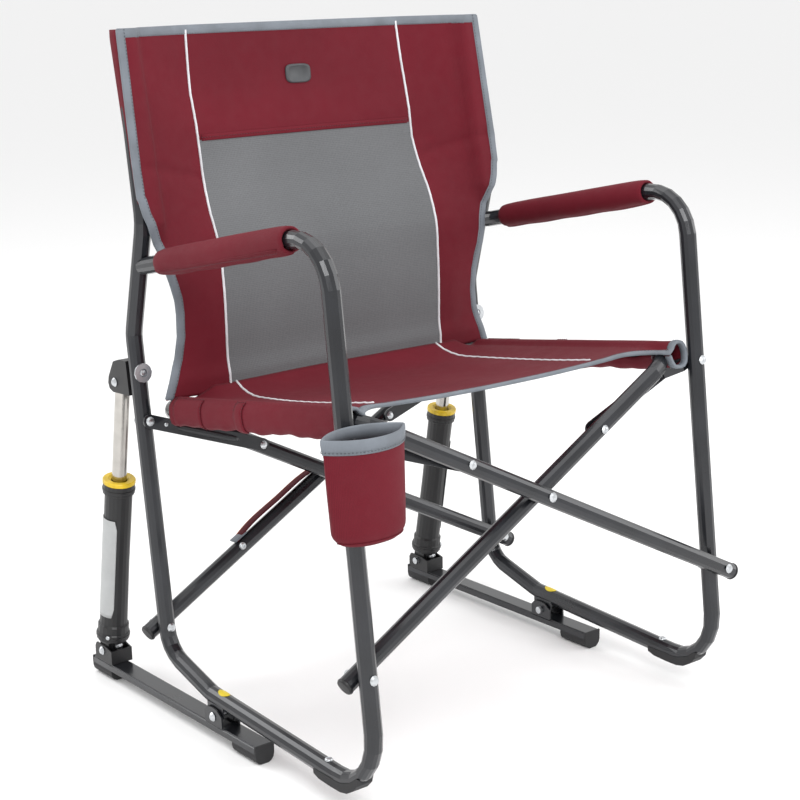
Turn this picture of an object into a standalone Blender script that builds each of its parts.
"""Camp rocking chair: two bent-tube side frames joined by a folding pair of U-shaped cross tubes, a fabric
seat and back, and a base bar with a spring strut under each side.

Metres, +Z up, front towards -Y, left is -X. The floor is z = 0 and the chair stands open and level.
"""

import math

import bmesh
import bpy
from mathutils import Matrix, Vector

# ---------------------------------------------------------------- driving dimensions
FRAME_X = 0.285  # centre plane of each side frame
POLE_TOP_X = 0.2785  # the back poles lean in a little at the top
TUBE_R = 0.011
WALL = 0.0013
AXIS_TILT = math.radians(8.3)  # the folding axes slope down to the rear
LEG_SLOPE = 0.1139  # how far a leg leans back per metre of height
FRONT_LEG_Y = -0.3105  # where the front leg's line meets the floor
REAR_LEG_Y = 0.1279
LAYER = 0.0230  # one tube and its gap, along the folding axes
LOW_S = 0.1353  # height of the low pivots, measured in the folding plane
CROSS_S = 0.2870
LINK_S = 0.4100
RAIL_X = 0.255
BOLT_R = 0.003
HOLE_R = 0.0034
EYE_R = 0.0070
STRUT_X = 0.283
STRUT_TOP = (0.2230, 0.4335)  # y, z of the strut's top pin
STRUT_FOOT = (0.2945, 0.0395)
ROCK_AXIS = (0.0160, 0.0345)
BAR_TOP = 0.0245
BAR_HALF = 0.0141
BAR_FRONT, BAR_REAR = -0.0776, 0.3233
SHIFT = (0.0225, 0.0055)  # moves the whole chair so that its box is centred on the origin

AXIS = Vector((0, math.cos(AXIS_TILT), -math.sin(AXIS_TILT)))
RISE = Vector((0, math.sin(AXIS_TILT), math.cos(AXIS_TILT)))
SIDE = Vector((1, 0, 0))
SKEW = LAYER / (2 * FRAME_X)  # the cross tubes run from one layer to the next
CROSS_SLOPE = (CROSS_S - LOW_S) / FRAME_X
RAIL_S = CROSS_S + RAIL_X * CROSS_SLOPE

COLLECTION = bpy.data.collections.new("camp_rocking_chair")
HELPERS = bpy.data.collections.new("cutters")


# ---------------------------------------------------------------- scene and materials
def clear_scene():
    for obj in list(bpy.data.objects):
        bpy.data.objects.remove(obj, do_unlink=True)
    bpy.context.scene.collection.children.link(COLLECTION)
    bpy.context.scene.collection.children.link(HELPERS)


def material(name, colour, metallic=0.0, roughness=0.5):
    made = bpy.data.materials.new(name)
    made.use_nodes = True
    shader = made.node_tree.nodes["Principled BSDF"]
    shader.inputs["Base Color"].default_value = (*colour, 1)
    shader.inputs["Metallic"].default_value = metallic
    shader.inputs["Roughness"].default_value = roughness
    made.diffuse_color = (*colour, 1)
    return made


FRAME_PAINT = material("frame_paint", (0.028, 0.030, 0.034), 0.4, 0.35)
BLACK_PLASTIC = material("black_plastic", (0.012, 0.012, 0.013), 0.0, 0.45)
RUBBER = material("rubber", (0.015, 0.015, 0.015), 0.0, 0.8)
ZINC = material("zinc", (0.55, 0.57, 0.60), 1.0, 0.3)
CHROME = material("chrome", (0.75, 0.76, 0.78), 1.0, 0.08)
SPRING_STEEL = material("spring_steel", (0.20, 0.20, 0.21), 1.0, 0.35)
YELLOW = material("yellow_plastic", (0.72, 0.50, 0.01), 0.0, 0.4)
FABRIC = material("burgundy_fabric", (0.17, 0.012, 0.035), 0.0, 0.9)
STRAP = material("strap_webbing", (0.15, 0.015, 0.03), 0.0, 0.9)


# ---------------------------------------------------------------- building blocks
def add(name, mesh, mat, smooth=True):
    obj = bpy.data.objects.new(name, mesh)
    mesh.materials.clear()
    mesh.materials.append(mat)
    for face in mesh.polygons:
        face.use_smooth = smooth
    COLLECTION.objects.link(obj)
    return obj


def mesh_of(name, points, faces):
    mesh = bpy.data.meshes.new(name)
    mesh.from_pydata([tuple(p) for p in points], [], faces)
    mesh.validate()
    shape = bmesh.new()
    shape.from_mesh(mesh)
    bmesh.ops.remove_doubles(shape, verts=shape.verts, dist=1e-6)
    bmesh.ops.recalc_face_normals(shape, faces=shape.faces)
    shape.to_mesh(mesh)
    shape.free()
    return mesh


def rounded(corners, radii, step=0.3):
    """The corners joined by straights, each inner corner replaced by an arc of its radius. Returns the points,
    and how far round an arc each one is, from 0 on a straight to 1 in the middle of a sharp arc."""
    path = [Vector(corners[0])]
    bent = [0.0]
    for before, here, after, radius in zip(corners, corners[1:], corners[2:], radii):
        before, here, after = Vector(before), Vector(here), Vector(after)
        arriving = (here - before).normalized()
        leaving = (after - here).normalized()
        turn = arriving.angle(leaving)
        reach = radius * math.tan(turn / 2)
        start = here - arriving * reach
        centre = start + (leaving - arriving * arriving.dot(leaving)).normalized() * radius
        axis = arriving.cross(leaving).normalized()
        steps = max(2, round(turn / step))
        for i in range(steps + 1):
            path.append(centre + Matrix.Rotation(turn * i / steps, 3, axis) @ (start - centre))
            bent.append(math.sin(math.pi * i / steps) ** 0.6 * min(1.0, turn))
    path.append(Vector(corners[-1]))
    bent.append(0.0)
    return path, bent


def rings(path, radius, sides, hint, bent=None, flatten=(0.0, 0.0)):
    """A ring of points round each point of the path, with no twist along it. A bend flattens the tube: where it
    is bent, the ring shrinks by the given shares along `hint` and along the direction square to it."""
    found = []
    across = None
    for i, here in enumerate(path):
        before = path[max(i - 1, 0)]
        after = path[min(i + 1, len(path) - 1)]
        along = ((here - before).normalized() + (after - here).normalized()).normalized()
        across = hint if across is None else across
        across = (across - along * across.dot(along)).normalized()
        other = along.cross(across)
        bend = bent[i] if bent else 0.0
        wide = radius * (1 - flatten[0] * bend)
        high = radius * (1 - flatten[1] * bend)
        turns = [2 * math.pi * (k + 0.5) / sides for k in range(sides)]
        found.append([here + across * (wide * math.cos(t)) + other * (high * math.sin(t)) for t in turns])
    return found


def bridge(first, second, sides):
    return [(first + k, first + (k + 1) % sides, second + (k + 1) % sides, second + k) for k in range(sides)]


def loft_solid(name, loops):
    """A solid skinned over a row of loops, with flat ends."""
    sides = len(loops[0])
    faces = []
    for i in range(len(loops) - 1):
        faces += bridge(i * sides, (i + 1) * sides, sides)
    last = (len(loops) - 1) * sides
    faces.append(tuple(range(sides)))
    faces.append(tuple(range(last, last + sides)))
    return mesh_of(name, [p for loop in loops for p in loop], faces)


def rod_mesh(name, path, radius, sides=14, hint=SIDE):
    """A solid bar of round section lofted along a path."""
    return loft_solid(name, rings(path, radius, sides, hint))


def tube_mesh(name, path, radius, wall, sides=14, hint=SIDE, bent=None, flatten=(0.0, 0.0)):
    """An open-ended tube lofted along a path."""
    outer = rings(path, radius, sides, hint, bent, flatten)
    inner = rings(path, radius - wall, sides, hint, bent, flatten)
    points = [p for loop in outer + inner for p in loop]
    count = len(path)
    faces = []
    for i in range(count - 1):
        faces += bridge(i * sides, (i + 1) * sides, sides)
        faces += bridge((count + i + 1) * sides, (count + i) * sides, sides)
    faces += bridge(count * sides, 0, sides)
    faces += bridge((count - 1) * sides, (2 * count - 1) * sides, sides)
    return mesh_of(name, points, faces)


def turned(name, profile, at, direction, mat, steps=20):
    """A profile of (radius, height) pairs turned about an axis through `at` with the Screw modifier."""
    mesh = bpy.data.meshes.new(name)
    edges = [(i, i + 1) for i in range(len(profile) - 1)]
    mesh.from_pydata([(r, 0, h) for r, h in profile], edges, [])
    obj = bpy.data.objects.new(name, mesh)
    mesh.materials.append(mat)
    COLLECTION.objects.link(obj)
    screw = obj.modifiers.new("turn", "SCREW")
    screw.axis = "Z"
    screw.angle = 2 * math.pi
    screw.steps = steps
    screw.render_steps = steps
    screw.use_merge_vertices = True
    screw.merge_threshold = 0.00005
    screw.use_smooth_shade = True
    screw.use_normal_flip = True
    obj.matrix_world = Matrix.Translation(at) @ direction.to_track_quat("Z", "Y").to_matrix().to_4x4()
    return obj


def box_mesh(name, low, high, matrix=None):
    mesh = bpy.data.meshes.new(name)
    shape = bmesh.new()
    bmesh.ops.create_cube(shape, size=1.0)
    size = [b - a for a, b in zip(low, high)]
    middle = [(a + b) / 2 for a, b in zip(low, high)]
    bmesh.ops.scale(shape, vec=size, verts=shape.verts)
    bmesh.ops.translate(shape, vec=middle, verts=shape.verts)
    if matrix is not None:
        bmesh.ops.transform(shape, matrix=matrix, verts=shape.verts)
    shape.to_mesh(mesh)
    shape.free()
    return mesh


def plate_mesh(name, outline, low, high, frame):
    """A flat outline of (u, v) points extruded from `low` to `high` along the frame's third axis."""
    count = len(outline)
    points = [frame @ Vector((u, v, low)) for u, v in outline]
    points += [frame @ Vector((u, v, high)) for u, v in outline]
    faces = [tuple(range(count)), tuple(range(2 * count - 1, count - 1, -1))]
    faces += bridge(0, count, count)
    return mesh_of(name, points, faces)


def helper(name, mesh):
    obj = bpy.data.objects.new(name, mesh)
    HELPERS.objects.link(obj)
    obj.hide_render = True
    obj.display_type = "WIRE"
    return obj


def boolean(obj, other, operation):
    modifier = obj.modifiers.new(operation.lower(), "BOOLEAN")
    modifier.operation = operation
    modifier.solver = "EXACT"
    modifier.object = other


def drill(obj, at, direction, radius, length, sides=10):
    """A round hole through the object."""
    half = direction.normalized() * (length / 2)
    hint = RISE if abs(direction.normalized().dot(RISE)) < 0.9 else SIDE
    path = [Vector(at) - half, Vector(at) + half]
    boolean(obj, helper(obj.name + "_drill", rod_mesh("drill", path, radius, sides, hint)), "DIFFERENCE")


def join(obj, mesh):
    boolean(obj, helper(obj.name + "_join", mesh), "UNION")


def bevel(obj, width, segments=1):
    modifier = obj.modifiers.new("bevel", "BEVEL")
    modifier.width = width
    modifier.segments = segments
    modifier.limit_method = "ANGLE"


def bolt(name, at, direction, grip, head=0.0062, washer=0.0, steps=10):
    """A button-head bolt with its nut. `at` is under the head and `direction` runs from head to nut."""
    profile = [
        (0, -0.0034),
        (head * 0.62, -0.0030),
        (head, -0.0006),
        (head, -0.0003),
        (BOLT_R, -0.0003),
        (BOLT_R, grip + 0.0003),
        (0.0056, grip + 0.0003),
        (0.0052, grip + 0.0044),
        (0, grip + 0.0056),
    ]
    if washer:
        profile[3:5] = [(head, -0.0022), (washer, -0.0022), (washer, -0.0003), (BOLT_R, -0.0003)]
    return turned(name, profile, Vector(at), Vector(direction), ZINC, steps)


def rivet(name, at, direction, grip, head=0.0058):
    """A domed rivet that ends flush, `grip` below its head."""
    profile = [(0, -0.0032), (head * 0.6, -0.0026), (head, -0.0003), (BOLT_R, -0.0003), (BOLT_R, grip), (0, grip)]
    return turned(name, profile, Vector(at), Vector(direction), ZINC, 10)


def plane_point(x, s, n):
    """A point by its side offset, its height in the folding plane and its place along the folding axes."""
    return SIDE * x + RISE * s + AXIS * n


def leg_point(base_y, s):
    """y and z of the point of a side frame's leg at height s in the folding plane."""
    z = (s - RISE.y * base_y) / (RISE.y * LEG_SLOPE + RISE.z)
    return base_y + LEG_SLOPE * z, z


def layer_of(base_y):
    """How far along the folding axes a side frame's leg is at its low pivot."""
    y, z = leg_point(base_y, LOW_S)
    return Vector((0, y, z)).dot(AXIS)


FRONT_N = layer_of(FRONT_LEG_Y)
REAR_N = layer_of(REAR_LEG_Y)


def cross_n(base_n, x, tube):
    """Where a cross tube's leg runs, along the folding axes. tube is 'a' or 'b'."""
    return base_n + (LAYER / 2 if tube == "a" else -LAYER / 2) - x * SKEW


# ---------------------------------------------------------------- side frames
KNEE = (0.1464, 0.6480)
KINK = (0.1851, 0.5020)
ARM_FRONT = (-0.2337, 0.6747)
ARM_END = (0.1425, 0.5954)
FLATTEN = (-0.06, 0.17)


def yz_frame(x, y=0.0, z=0.0):
    """Axes for a plate that lies in a plane of constant x: its outline is given as (y, z)."""
    return Matrix(((0, 0, 1, x), (1, 0, 0, y), (0, 1, 0, z), (0, 0, 0, 1)))


def frame_path(side):
    x = side * FRAME_X
    corners = [
        (side * POLE_TOP_X, 0.1875, 0.8740),
        (x, *KNEE),
        (x, *KINK),
        (x, 0.1376, 0.0853),
        (x, 0.0365, 0.0557),
        (x, -0.3063, 0.0369),
        (x, *ARM_FRONT),
        (x, *ARM_END),
    ]
    return rounded(corners, [0.06, 0.045, 0.045, 0.06, 0.066, 0.056])


def side_frame(side, word):
    x = side * FRAME_X
    path, bent = frame_path(side)
    frame = add(word + "_frame_tube", tube_mesh("tube", path, TUBE_R, WALL, 14, SIDE, bent, FLATTEN), FRAME_PAINT)
    end = Vector((x, *ARM_END))
    along = (end - Vector((x, *ARM_FRONT))).normalized()
    join(frame, rod_mesh("weld", [end - along * 0.006, end + along * 0.0110], TUBE_R - 0.0006, 14))
    # two plates welded to the sides of the rail carry the rock bolt
    y, z = ROCK_AXIS
    plate = [(-0.0185, 0.0160), (-0.0175, 0.0030), (-0.0110, -0.0070), (0.0110, -0.0070), (0.0170, 0.0030), (0.0170, 0.0160)]
    for way in (-1, 1):
        join(frame, plate_mesh("plate", plate, way * 0.0095 - 0.0010, way * 0.0095 + 0.0010, yz_frame(x, y, z)))
    for base, s in ((FRONT_LEG_Y, LOW_S), (REAR_LEG_Y, LOW_S), (FRONT_LEG_Y, LINK_S), (REAR_LEG_Y, LINK_S)):
        drill(frame, (x, *leg_point(base, s)), AXIS, HOLE_R, 0.05)
    drill(frame, (x, POLE_Y, BRACKET_Z), POLE_NORMAL, HOLE_R, 0.05)
    drill(frame, (x, y, z), SIDE, HOLE_R, 0.05)
    return frame


BRACKET_Z = 0.4523
POLE_Y = REAR_LEG_Y + LEG_SLOPE * BRACKET_Z
POLE_NORMAL = Vector((0, 1, -LEG_SLOPE)).normalized()


def top_bracket(side, word):
    """The channel on the rear of the pole that holds the strut's top pin."""
    x = side * FRAME_X
    strut_x = side * STRUT_X
    top_y, top_z = STRUT_TOP

    def rear_of_pole(z, gap):
        return REAR_LEG_Y + LEG_SLOPE * z + TUBE_R + 0.0007 + gap

    outline = [
        (rear_of_pole(0.4215, 0), 0.4215),
        (rear_of_pole(0.4662, 0), 0.4662),
        (0.2110, 0.4655),
        (0.2250, 0.4610),
        (0.2385, 0.4390),
        (0.2405, 0.4300),
        (0.2375, 0.4230),
        (0.2290, 0.4195),
    ]
    frame = yz_frame(strut_x)
    bracket = add(word + "_top_bracket", plate_mesh("bracket", outline, -0.0122, 0.0122, frame), BLACK_PLASTIC, False)
    hollow = [
        (rear_of_pole(0.40, 0.003), 0.40),
        (rear_of_pole(0.4600, 0.003), 0.4600),
        (0.2230, 0.4560),
        (0.2360, 0.4360),
        (0.2600, 0.4000),
    ]
    boolean(bracket, helper("hollow", plate_mesh("hollow", hollow, -0.0106, 0.0106, frame)), "DIFFERENCE")
    drill(bracket, (x, POLE_Y, BRACKET_Z), POLE_NORMAL, HOLE_R, 0.04)
    drill(bracket, (x, top_y, top_z), SIDE, HOLE_R, 0.06)
    head = Vector((x, POLE_Y, BRACKET_Z)) - POLE_NORMAL * (TUBE_R + 0.0004)
    bolt(word + "_bracket_bolt", head, POLE_NORMAL, 2 * TUBE_R + 0.0046, 0.0055, 0.0125, 12)
    bolt(word + "_strut_top_pin", (strut_x + side * 0.0124, top_y, top_z), (-side, 0, 0), 0.0248)


def front_foot(side, word):
    """A rubber shoe that wraps the underside of the front end of the base rail."""
    x = side * FRAME_X
    outline = [
        (-0.2815, 0.0560),
        (-0.2790, 0.0470),
        (-0.2700, 0.0375),
        (-0.2590, 0.0310),
        (-0.2460, 0.0283),
        (-0.2280, 0.0285),
        (-0.2050, 0.0300),
        (-0.1950, 0.0335),
        (-0.1940, 0.0400),
        (-0.2300, 0.0400),
        (-0.2560, 0.0440),
        (-0.2680, 0.0540),
        (-0.2720, 0.0580),
    ]
    foot = add(word + "_front_foot", plate_mesh("foot", outline, -0.0112, 0.0112, yz_frame(x)), RUBBER, False)
    path, bent = frame_path(side)
    rail = [i for i, p in enumerate(path) if p.z < 0.3 and p.y < 0.01]
    first, last = rail[0] - 1, rail[-1] + 2
    loops = rings(path[first:last], TUBE_R + 0.0004, 14, SIDE, bent[first:last], FLATTEN)
    boolean(foot, helper("rail", loft_solid("rail", loops)), "DIFFERENCE")


def side_parts(side, word):
    x = side * FRAME_X
    side_frame(side, word)
    top_bracket(side, word)
    front_foot(side, word)
    # arm pad: a foam-lined fabric sleeve round the arm tube
    front, end = Vector((x, *ARM_FRONT)), Vector((x, *ARM_END))
    path = [front.lerp(end, 0.170 + 0.722 * i / 6) for i in range(7)]
    add(word + "_arm_pad", tube_mesh("pad", path, 0.0174, 0.0174 - TUBE_R - 0.0003, 18), FABRIC)
    # link bolts and low pivot bolts
    for base, where in ((FRONT_LEG_Y, "front"), (REAR_LEG_Y, "rear")):
        y, z = leg_point(base, LOW_S)
        n = layer_of(base)
        front_face = n - TUBE_R - (LAYER if side > 0 else 0)
        bolt(f"{word}_{where}_low_bolt", plane_point(x, LOW_S, front_face - 0.0004), AXIS, LAYER + 2 * TUBE_R + 0.0008)
        y, z = leg_point(base, LINK_S)
        leg_n = Vector((0, y, z)).dot(AXIS)
        if where == "front":
            cloth = 0.0032 if side < 0 else 0.0  # the pouch hangs under the left one's head
            start_n, grip = leg_n - TUBE_R - 0.0004 - cloth, 2 * TUBE_R + 0.0044 + cloth
        else:
            start_n, grip = leg_n - TUBE_R - 0.0060, 2 * TUBE_R + 0.0066
        bolt(f"{word}_{where}_link_bolt", plane_point(x, LINK_S, start_n), AXIS, grip)


# ---------------------------------------------------------------- cross tubes and links
def cross_tube(tube):
    """A U: a seat rail and two legs that run down to the opposite side frame."""
    low = FRAME_X if tube == "b" else -FRAME_X
    way = 1 if tube == "b" else -1  # the way down
    reach = 0.016 / math.hypot(1, CROSS_SLOPE)
    foot_x = low + way * reach
    foot_s = LOW_S - reach * CROSS_SLOPE
    rail_x = -way * RAIL_X
    corners = [
        plane_point(foot_x, foot_s, cross_n(FRONT_N, foot_x, tube)),
        plane_point(rail_x, RAIL_S, cross_n(FRONT_N, rail_x, tube)),
        plane_point(rail_x, RAIL_S, cross_n(REAR_N, rail_x, tube)),
        plane_point(foot_x, foot_s, cross_n(REAR_N, foot_x, tube)),
    ]
    path, bent = rounded(corners, [0.042, 0.042])
    mesh = tube_mesh("tube", path, TUBE_R - 0.0003, WALL, 14, AXIS, bent, (0.12, -0.05))
    obj = add(f"cross_tube_{tube}", mesh, FRAME_PAINT)
    for base_n in (FRONT_N, REAR_N):
        for x, s in ((low, LOW_S), (0, CROSS_S), (-way * Q_X, Q_S)):
            drill(obj, plane_point(x, s, cross_n(base_n, x, tube)), AXIS, HOLE_R, 0.04)


Q_X = 0.115
Q_S = CROSS_S + Q_X * CROSS_SLOPE
LINK_T = 0.003
LINK_HALF = 0.0090
LINK_GAP = {"front": 0.0004, "rear": 0.0026}


def link(side, word, where):
    """A flat bar from the leg of a side frame to the cross tube whose rail is beside it. It lies on the inner
    faces of both, and the front ones are cranked back past the bend of the seat rail."""
    tube = "b" if side < 0 else "a"
    base_y, base_n = (FRONT_LEG_Y, FRONT_N) if where == "front" else (REAR_LEG_Y, REAR_N)
    inner = 1 if where == "front" else -1
    leg_n = Vector((0, *leg_point(base_y, LINK_S))).dot(AXIS)
    tube_n = cross_n(base_n, side * Q_X, tube)
    # a washer's gap where the bar, as it swings, comes nearer to a tube that slopes towards it
    start_n = leg_n + inner * (TUBE_R + LINK_GAP[where] + LINK_T / 2)
    swing = 0.0014 if (where == "front") == (side > 0) else 0.0004
    end_n = tube_n + inner * (TUBE_R + swing + LINK_T / 2)
    stations = [(FRAME_X, start_n), (Q_X, end_n)]
    if where == "front":
        clear_n = max(end_n, base_n + 0.0158)
        stations = [(FRAME_X, start_n), (0.272, start_n), (0.252, clear_n), (0.205, clear_n), (Q_X + 0.012, end_n), (Q_X, end_n)]
    start = plane_point(side * FRAME_X, LINK_S, 0)
    end = plane_point(side * Q_X, Q_S, 0)
    length = (end - start).length
    along = (end - start).normalized()
    across_bar = AXIS.cross(along)
    grid = []
    marks = [-LINK_HALF * math.cos(math.radians(a)) for a in (15, 35, 60, 90)]
    marks += [length * (FRAME_X - x) / (FRAME_X - Q_X) for x, n in stations[1:-1]]
    marks += [length + LINK_HALF * math.cos(math.radians(a)) for a in (90, 60, 35, 15)]
    for mark in marks:
        over = max(-mark, mark - length, 0.0)
        width = math.sqrt(LINK_HALF**2 - over**2)
        x = FRAME_X + (Q_X - FRAME_X) * min(max(mark / length, 0), 1)
        for (xa, na), (xb, nb) in zip(stations, stations[1:]):
            if xb - 1e-9 <= x <= xa + 1e-9:
                n = na + (nb - na) * (xa - x) / (xa - xb)
        centre = start + along * mark + AXIS * n
        grid.append([centre - across_bar * width, centre, centre + across_bar * width])
    bar = add(f"{word}_{where}_link", sheet_mesh("bar", grid, LINK_T), FRAME_PAINT, False)
    for at, n in ((start, start_n), (end, end_n)):
        drill(bar, at + AXIS * n, AXIS, HOLE_R, 0.02)
    return bar


def cross_bolts():
    for base_n, where in ((FRONT_N, "front"), (REAR_N, "rear")):
        start = base_n - LAYER / 2 - TUBE_R
        bolt(f"{where}_crossing_bolt", plane_point(0, CROSS_S, start - 0.0002), AXIS, LAYER + 2 * TUBE_R + 0.0004)
        for side, word, tube in ((-1, "left", "b"), (1, "right", "a")):
            n = cross_n(base_n, side * Q_X, tube)
            if where == "front":
                start, grip = n - TUBE_R - 0.0002, 2 * TUBE_R - 0.0004
            else:
                swing = 0.0014 if side < 0 else 0.0004
                start, grip = n - TUBE_R - swing - LINK_T - 0.0003, LINK_T + 0.0003
            rivet(f"{word}_{where}_rail_rivet", plane_point(side * Q_X, Q_S, start), AXIS, grip)


# ---------------------------------------------------------------- base bars and struts
def xz_frame(x, y=0.0):
    """Axes for a bar that runs along y: its section is given as (x, z)."""
    return Matrix(((1, 0, 0, x), (0, 0, 1, y), (0, 1, 0, 0), (0, 0, 0, 1)))


PAD_SECTION = [(0.0140, 0.0110), (0.0128, 0.0060), (0.0098, 0.0022), (0.0060, 0.0), (-0.0060, 0.0), (-0.0098, 0.0022)]
PAD_SECTION += [(-0.0128, 0.0060), (-0.0140, 0.0110)]


def base_bar(side, word):
    """A shallow channel, open below, with the U bracket for the rock bolt welded on top and a rubber shoe
    plugged into each end."""
    x = side * FRAME_X
    half = [(0.0141, 0.0148), (0.0141, 0.0222), (0.0129, 0.0230), (0.0129, 0.0240), (0.0120, BAR_TOP)]
    inner = [(0.0112, BAR_TOP - 0.0016), (0.0116, 0.0222), (0.0127, 0.0212), (0.0127, 0.0148)]
    outline = half + [(-u, v) for u, v in reversed(half)] + [(-u, v) for u, v in reversed(inner)] + inner
    mesh = plate_mesh("bar", outline, BAR_FRONT + 0.0025, BAR_REAR - 0.0025, xz_frame(x))
    bar = add(word + "_base_bar", mesh, FRAME_PAINT, False)
    y, z = ROCK_AXIS
    ear = [(0.0185, BAR_TOP - 0.0010), (0.0185, z + 0.0050), (0.0125, z + 0.0112), (0.0020, z + 0.0122)]
    ear += [(-0.0090, z + 0.0110), (-0.0190, z + 0.0045), (-0.0200, BAR_TOP - 0.0010)]
    for way in (-1, 1):
        join(bar, plate_mesh("ear", ear, way * 0.0129 - 0.0011, way * 0.0129 + 0.0011, yz_frame(x, y)))
    drill(bar, (x, y, z), SIDE, HOLE_R, 0.05)
    bolt(word + "_rock_bolt", (x + side * 0.0143, y, z), (-side, 0, 0), 0.0286)
    for where, end, way, length in (("front", BAR_FRONT, 1, 0.052), ("rear", BAR_REAR, -1, 0.050)):
        cap = [(-0.0141, BAR_TOP)] + [(-u, v) for u, v in PAD_SECTION] + [(0.0141, BAR_TOP)]
        low, high = sorted((end, end + way * 0.0022))
        pad = add(f"{word}_{where}_pad", plate_mesh("cap", cap, low, high, xz_frame(x)), RUBBER, False)
        low, high = sorted((end + way * 0.0010, end + way * length))
        join(pad, plate_mesh("sole", PAD_SECTION + [(-0.0138, 0.0145), (0.0138, 0.0145)], low, high, xz_frame(x)))
        low, high = sorted((end + way * 0.0010, end + way * 0.030))
        join(pad, box_mesh("plug", (x - 0.0105, low, 0.0130), (x + 0.0105, high, 0.0205)))


def strut(side, word):
    """The spring strut: foot bracket, universal block, cylinder, cap ring, spring and rod."""
    x = side * STRUT_X
    top, foot = Vector((x, *STRUT_TOP)), Vector((x, *STRUT_FOOT))
    up = (top - foot).normalized()
    length = (top - foot).length
    back = SIDE.cross(up)
    foot_y, foot_z = STRUT_FOOT
    # a U bracket on top of the bar, with a wall across its front
    floor = BAR_TOP + 0.0004
    cheek = [(-0.0248, floor), (-0.0248, 0.0440), (-0.0100, 0.0475), (0.0150, 0.0480), (0.0190, 0.0420), (0.0190, floor)]
    mesh = plate_mesh("bracket", cheek, -0.0162, 0.0162, yz_frame(x, foot_y))
    bracket = add(word + "_strut_bracket", mesh, BLACK_PLASTIC, False)
    gap = box_mesh("gap", (x - 0.0140, foot_y - 0.0226, floor + 0.0025), (x + 0.0140, foot_y + 0.03, 0.06))
    boolean(bracket, helper("gap", gap), "DIFFERENCE")
    drill(bracket, foot, SIDE, HOLE_R, 0.06)
    bolt(word + "_strut_foot_bolt", foot + SIDE * side * 0.0164, (-side, 0, 0), 0.0328)
    # universal block: the foot bolt runs across it and the universal bolt runs through it from front to rear
    turn = Matrix.Identity(4)
    for i, axis in enumerate((SIDE, back, up)):
        for j in range(3):
            turn[j][i] = axis[j]
    turn.translation = foot
    mesh = box_mesh("block", (-0.0134, -0.0110, -0.0080), (0.0134, 0.0110, 0.0158), turn)
    block = add(word + "_universal_block", mesh, BLACK_PLASTIC, False)
    drill(block, foot, SIDE, HOLE_R, 0.05)
    cross_at = foot + up * 0.0110
    drill(block, cross_at, back, HOLE_R, 0.05)
    bolt(word + "_universal_bolt", cross_at - back * 0.0142, back, 0.0284, 0.0048)
    # cylinder with a fork below and an open top
    base = foot + up * 0.0164
    tall = 0.2374
    profile = [
        (0, 0.0),
        (0.0205, 0.0),
        (0.0225, 0.0030),
        (0.0225, 0.0120),
        (0.0212, 0.0135),
        (0.0212, 0.0240),
        (0.0190, 0.0262),
        (0.0182, 0.1200),
        (0.0187, tall - 0.0150),
        (0.0215, tall - 0.0135),
        (0.0215, tall),
        (0.0165, tall),
        (0.0165, 0.0070),
        (0, 0.0070),
    ]
    cylinder = turned(word + "_cylinder", profile, base, up, BLACK_PLASTIC, 20)
    for way in (-1, 1):
        low, high = sorted((way * 0.0114, way * 0.0140))
        join(cylinder, box_mesh("fork", (-0.0100, low, 0.0045), (0.0100, high, 0.0200), turn))
    drill(cylinder, cross_at, back, HOLE_R, 0.05)
    ring = [(0.0112, 0.0), (0.0214, 0.0), (0.0222, 0.0006), (0.0222, 0.0050), (0.0212, 0.0062), (0.0150, 0.0062)]
    ring += [(0.0120, 0.0040), (0.0112, 0.0040), (0.0112, 0.0)]
    turned(word + "_cap_ring", ring, base + up * (tall + 0.0003), up, YELLOW, 20)
    # rod: a tube from its piston inside the cylinder to the solid eye at the top pin
    eye = length - 0.0164
    rod = [(0, eye - 0.0120), (0.0080, eye - 0.0120), (0.0080, 0.0900), (0.0150, 0.0900), (0.0150, 0.0960)]
    rod += [(0.0100, 0.0970), (0.0100, eye + 0.0040), (0.0085, eye + 0.0070), (0, eye + 0.0070)]
    shaft = turned(word + "_rod", rod, base, up, CHROME, 18)
    drill(shaft, top, SIDE, EYE_R, 0.05)
    # spring under the piston
    turns, wire, coil, low, high = 7, 0.0016, 0.0125, 0.0090, 0.0880
    path = []
    for i in range(turns * 10 + 1):
        angle = 2 * math.pi * i / 10
        height = low + (high - low) * i / (turns * 10)
        path.append(base + SIDE * (coil * math.cos(angle)) + back * (coil * math.sin(angle)) + up * height)
    add(word + "_spring", rod_mesh("spring", path, wire, 5, up), SPRING_STEEL)


# ---------------------------------------------------------------- fabric
# Rows of the back, from the top: height, outer edge (x, y), seam line (x, y) and middle y
BACK_ROWS = (
    (0.882, 0.2900, 0.1880, 0.172, 0.2110, 0.2170),
    (0.838, 0.2920, 0.1820, 0.175, 0.2050, 0.2120),
    (0.798, 0.2940, 0.1750, 0.177, 0.1980, 0.2060),
    (0.759, 0.2960, 0.1690, 0.177, 0.1880, 0.1970),
    (0.719, 0.2970, 0.1620, 0.177, 0.1820, 0.1900),
    (0.679, 0.2960, 0.1520, 0.179, 0.1690, 0.1800),
    (0.641, 0.2830, 0.1450, 0.182, 0.1510, 0.1640),
    (0.604, 0.2680, 0.1360, 0.182, 0.1370, 0.1510),
    (0.568, 0.2600, 0.1310, 0.180, 0.1340, 0.1460),
    (0.530, 0.2510, 0.1350, 0.180, 0.1320, 0.1430),
    (0.491, 0.2510, 0.1380, 0.179, 0.1320, 0.1410),
    (0.460, 0.2580, 0.1390, 0.178, 0.1320, 0.1390),
    (0.425, 0.2650, 0.1340, 0.179, 0.1240, 0.1290),
)
CLOTH = 0.0020


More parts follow.
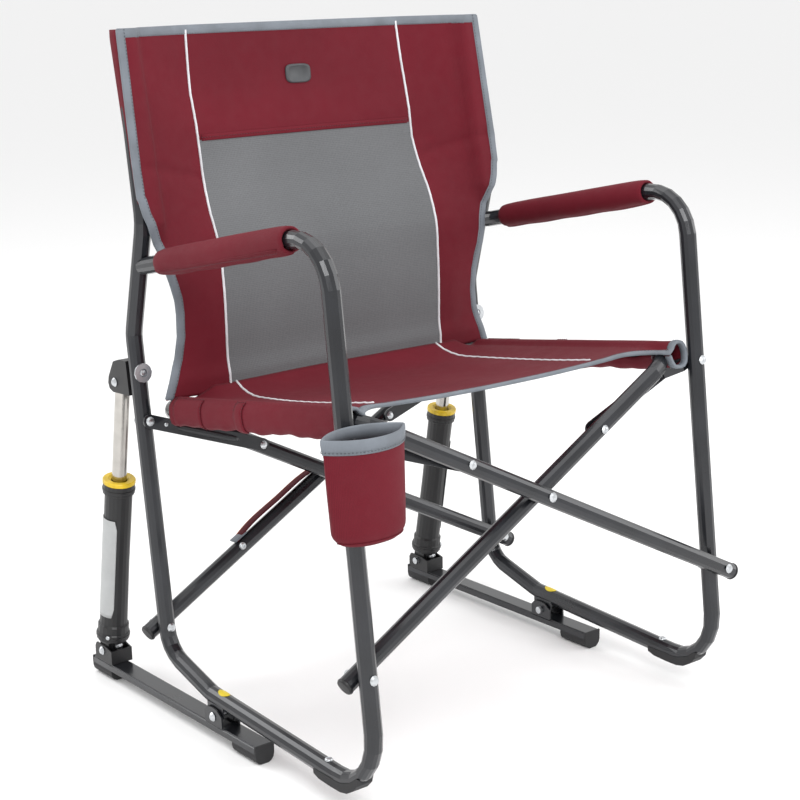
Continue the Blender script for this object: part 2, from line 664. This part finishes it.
def sheet_mesh(name, grid, thickness):
    """A closed sheet from a grid of points, thickened evenly to both sides."""
    rows, columns = len(grid), len(grid[0])
    normals = []
    for i in range(rows):
        for j in range(columns):
            down = grid[min(i + 1, rows - 1)][j] - grid[max(i - 1, 0)][j]
            over = grid[i][min(j + 1, columns - 1)] - grid[i][max(j - 1, 0)]
            normals.append(over.cross(down).normalized())
    flat = [p for row in grid for p in row]
    points = [p + n * (thickness / 2) for p, n in zip(flat, normals)]
    points += [p - n * (thickness / 2) for p, n in zip(flat, normals)]
    base = rows * columns
    faces = []
    for i in range(rows - 1):
        for j in range(columns - 1):
            a, b, c, d = i * columns + j, i * columns + j + 1, (i + 1) * columns + j + 1, (i + 1) * columns + j
            faces += [(a, b, c, d), (base + d, base + c, base + b, base + a)]
    border = [j for j in range(columns)]
    border += [i * columns + columns - 1 for i in range(1, rows)]
    border += [(rows - 1) * columns + j for j in range(columns - 2, -1, -1)]
    border += [i * columns for i in range(rows - 2, 0, -1)]
    for a, b in zip(border, border[1:] + border[:1]):
        faces.append((a, base + a, base + b, b))
    return mesh_of(name, points, faces)


def smooth_rows(rows, between):
    """Catmull-Rom rows between the given ones."""
    found = []
    for i in range(len(rows) - 1):
        p0, p1, p2, p3 = rows[max(i - 1, 0)], rows[i], rows[i + 1], rows[min(i + 2, len(rows) - 1)]
        for k in range(between):
            t = k / between
            found.append(
                tuple(
                    0.5 * (2 * b + (c - a) * t + (2 * a - 5 * b + 4 * c - d) * t * t + (3 * b - a - 3 * c + d) * t**3)
                    for a, b, c, d in zip(p0, p1, p2, p3)
                )
            )
    found.append(tuple(rows[-1]))
    return found


def across(x_edge, y_edge, x_seam, y_seam, y_middle, z, columns):
    """Points of one row of the back, left to right."""
    row = []
    for j in range(columns):
        x = x_edge * (2 * j / (columns - 1) - 1)
        a = abs(x)
        if a <= x_seam:
            t = a / x_seam
            y = y_middle + (y_seam - y_middle) * t * t
        else:
            t = (a - x_seam) / max(x_edge - x_seam, 1e-6)
            slope = 2 * (y_seam - y_middle) / x_seam * (x_edge - x_seam)
            y = y_seam + slope * t * (1 - t) ** 2 * 0.5 + (y_edge - y_seam) * (3 * t * t - 2 * t**3)
        row.append(Vector((x, y, z)))
    return row


def pole_centre(side, z):
    """The centre of a back pole at height z."""
    path = [p for p in frame_path(side)[0] if p.z > 0.5]
    lean = (path[0] - path[1]).normalized()
    path.insert(0, path[0] + lean * 0.05)
    for above, below in zip(path, path[1:]):
        if below.z <= z <= above.z:
            return below.lerp(above, (z - below.z) / (above.z - below.z))
    return path[-1]


SLEEVE_R = 0.0138
SLEEVE_WALL = 0.0024
SLEEVE_FOOT = 0.6690


def back_sling():
    """The back: a sheet between the two poles, with a sleeve over the top of each."""
    grid = []
    for z, xe, ye, xs, ys, ym in smooth_rows(BACK_ROWS, 2)[:-1]:
        if z > SLEEVE_FOOT:
            pole = pole_centre(1, z)
            xe = pole.x - SLEEVE_R + 0.0011  # the sheet starts in the inner side of the sleeve
            ye = pole.y
        else:
            xe = min(xe, 0.2718)
        grid.append(across(xe, ye, xs, ys, ym, z, 21))
    sling = add("back_sling", sheet_mesh("sling", grid, CLOTH), FABRIC)
    for side in (-1, 1):
        heights = (0.8810, 0.7750, SLEEVE_FOOT)
        join(sling, tube_mesh("sleeve", [pole_centre(side, z) for z in heights], SLEEVE_R, SLEEVE_WALL, 16))
    return sling


SEAT_SAG = 0.016


def seat_sling():
    """The seat: a sheet hung between two sleeves on the seat rails."""
    grid = []
    rows = 13
    columns = 25
    inner = RAIL_X - 0.0096
    for i in range(rows):
        f = i / (rows - 1)
        row = []
        for j in range(columns):
            u = 2 * j / (columns - 1) - 1
            x = inner * u
            front_n = cross_n(FRONT_N, x, "b") + LAYER / 2 + 0.0450
            rear_n = 0.0680
            n = front_n + (rear_n - front_n) * f
            sag = SEAT_SAG * (0.55 + 0.45 * math.sin(math.pi * min(1.0, f * 1.1)))
            s = RAIL_S + 0.0080 - sag * (1 - abs(u) ** 2.4)
            row.append(plane_point(x, s, n))
        grid.append(row)
    seat = add("seat_sling", sheet_mesh("seat", grid, CLOTH), FABRIC)
    for side in (-1, 1):
        tube = "b" if side < 0 else "a"
        x = side * RAIL_X
        start = cross_n(FRONT_N, x, tube) + 0.0460
        end = 0.0700
        path = [plane_point(x, RAIL_S, start + (end - start) * i / 6) for i in range(7)]
        join(seat, tube_mesh("sleeve", path, TUBE_R + 0.0026, 0.0024, 16, RISE))
    return seat


def cup_holder():
    """A fabric pouch, pointed at the sides, held on the left front leg by the link bolt."""
    top, height, wall, sides, levels = 0.4680, 0.1170, 0.0016, 24, 7
    front_of_leg = FRONT_LEG_Y - TUBE_R - 0.0010

    def loop(f, shrink, lift):
        z = top - height * f
        half = 0.0570 - 0.0100 * f - shrink
        depth = 0.0600 - 0.0080 * f - 2 * shrink
        centre_y = front_of_leg + LEG_SLOPE * z - (depth + 2 * shrink) / 2
        ring = []
        for k in range(sides):
            angle = 2 * math.pi * (k + 0.5) / sides
            out = math.copysign(abs(math.sin(angle)) ** 0.75, math.sin(angle))
            ring.append(Vector((-0.2940 - 0.0030 * f + half * math.cos(angle), centre_y + out * depth / 2, z + lift)))
        return ring

    outer = [loop(i / (levels - 1), 0.0, 0.0) for i in range(levels)]
    inner = [loop(i / (levels - 1), wall, wall if i == levels - 1 else 0.0) for i in range(levels)]
    points = [p for ring in outer + inner for p in ring]
    faces = []
    for i in range(levels - 1):
        faces += bridge(i * sides, (i + 1) * sides, sides)
        faces += bridge((levels + i + 1) * sides, (levels + i) * sides, sides)
    faces += bridge(levels * sides, 0, sides)
    faces.append(tuple(range((levels - 1) * sides, levels * sides)))
    faces.append(tuple(range((2 * levels - 1) * sides, 2 * levels * sides)))
    pouch = add("cup_holder", mesh_of("pouch", points, faces), FABRIC)
    y, z = leg_point(FRONT_LEG_Y, LINK_S)
    drill(pouch, Vector((-FRAME_X, y, z)) - AXIS * 0.0125, AXIS, HOLE_R, 0.012)
    return pouch


def carry_strap():
    """A webbing handle bolted to the upper side of the rear leg of cross tube a."""
    centre_n = cross_n(REAR_N, -0.10, "a")
    grid = []
    slope = Vector((1, 0, CROSS_SLOPE)).normalized()
    along = (SIDE + RISE * CROSS_SLOPE).normalized()
    normal = AXIS.cross(along)
    normal = -normal if normal.z < 0 else normal
    start = plane_point(-0.146, CROSS_S - 0.146 * CROSS_SLOPE, centre_n + 0.0040)
    for i in range(17):
        t = i / 16
        lift = TUBE_R + 0.0016 + 0.0065 * math.sin(math.pi * t) ** 0.8
        centre = start + along * (0.160 * t) - AXIS * (0.160 * t * SKEW) + normal * lift
        grid.append([centre + AXIS * w for w in (-0.0125, 0.0, 0.0125)])
    strap = add("carry_strap", sheet_mesh("strap", grid, 0.0022), STRAP)
    return strap


def main():
    clear_scene()
    for side, word in ((-1, "left"), (1, "right")):
        side_parts(side, word)
        base_bar(side, word)
        strut(side, word)
        for where in ("front", "rear"):
            link(side, word, where)
    for tube in "ab":
        cross_tube(tube)
    cross_bolts()
    back_sling()
    seat_sling()
    cup_holder()
    carry_strap()
    for obj in list(COLLECTION.objects) + list(HELPERS.objects):
        obj.matrix_world = Matrix.Translation((*SHIFT, 0)) @ obj.matrix_world
    HELPERS.hide_render = True


main()
